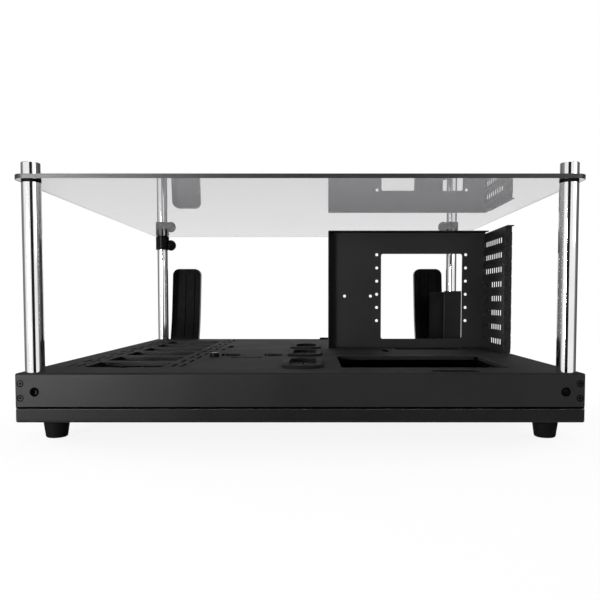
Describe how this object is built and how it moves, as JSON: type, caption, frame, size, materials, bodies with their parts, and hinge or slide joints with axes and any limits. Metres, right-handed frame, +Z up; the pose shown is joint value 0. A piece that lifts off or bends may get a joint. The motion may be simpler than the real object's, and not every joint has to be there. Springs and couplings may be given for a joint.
{
  "type": "computer case",
  "caption": "Open-frame computer case lying flat: folded black steel base on rubber feet, chrome posts holding a glass sheet, an upright slot plate and stand legs at the back.",
  "frame": {"origin": "on the floor under the middle of the whole plan, stand legs included", "axes": "+X to the right seen from the front face, +Y from the front face to the legs, +Z up"},
  "size_m": [0.57, 0.608, 0.28],
  "materials": {
    "painted_steel": "fine matte black powder coat",
    "block_steel": "matte black",
    "foot_rubber": "matte",
    "black_screws": "black oxide",
    "post_chrome": "polished",
    "glass": "clear with a light grey tint",
    "black_plastic": "satin"
  },
  "bodies": {
    "root": {"top_panel": "painted_steel", "bottom_cover": "painted_steel", "riser_plate": "painted_steel", "slot_panel": "painted_steel", "slot_cover_1": "painted_steel", "slot_cover_2": "painted_steel", "slot_cover_3": "painted_steel", "slot_cover_4": "painted_steel", "slot_cover_5": "painted_steel", "slot_cover_6": "painted_steel", "slot_cover_7": "painted_steel", "slot_cover_8": "painted_steel", "psu_bracket": "painted_steel", "corner_block_front_left": "block_steel", "corner_block_front_right": "block_steel", "corner_block_back_left": "block_steel", "corner_block_back_right": "block_steel", "foot_front_left": "foot_rubber", "foot_front_right": "foot_rubber", "foot_back_left": "foot_rubber", "foot_back_right": "foot_rubber", "washer_front_left": "foot_rubber", "washer_front_right": "foot_rubber", "washer_back_left": "foot_rubber", "washer_back_right": "foot_rubber", "grommet_front": "foot_rubber", "grommet_middle": "foot_rubber", "grommet_back": "foot_rubber", "stand_pad_left": "foot_rubber", "stand_pad_right": "foot_rubber", "foot_screws": "black_screws", "cover_screws": "black_screws", "corner_screws": "black_screws", "post_lock_screws": "black_screws", "post_bolts": "black_screws", "slot_screws": "black_screws", "bracket_screws": "black_screws", "stand_screws": "black_screws", "post_front_left": "post_chrome", "post_front_right": "post_chrome", "post_back_left": "post_chrome", "post_back_right": "post_chrome", "cap_front_left": "post_chrome", "cap_front_right": "post_chrome", "cap_back_left": "post_chrome", "cap_back_right": "post_chrome", "glass_panel": "glass", "collar_left": "black_plastic", "collar_right": "black_plastic", "collar_knob_left": "black_plastic", "collar_knob_right": "black_plastic", "stand_leg_left": "black_plastic", "stand_leg_right": "black_plastic", "edge_clip": "black_plastic", "cable_knob": "black_plastic"}
  },
  "joints": []
}
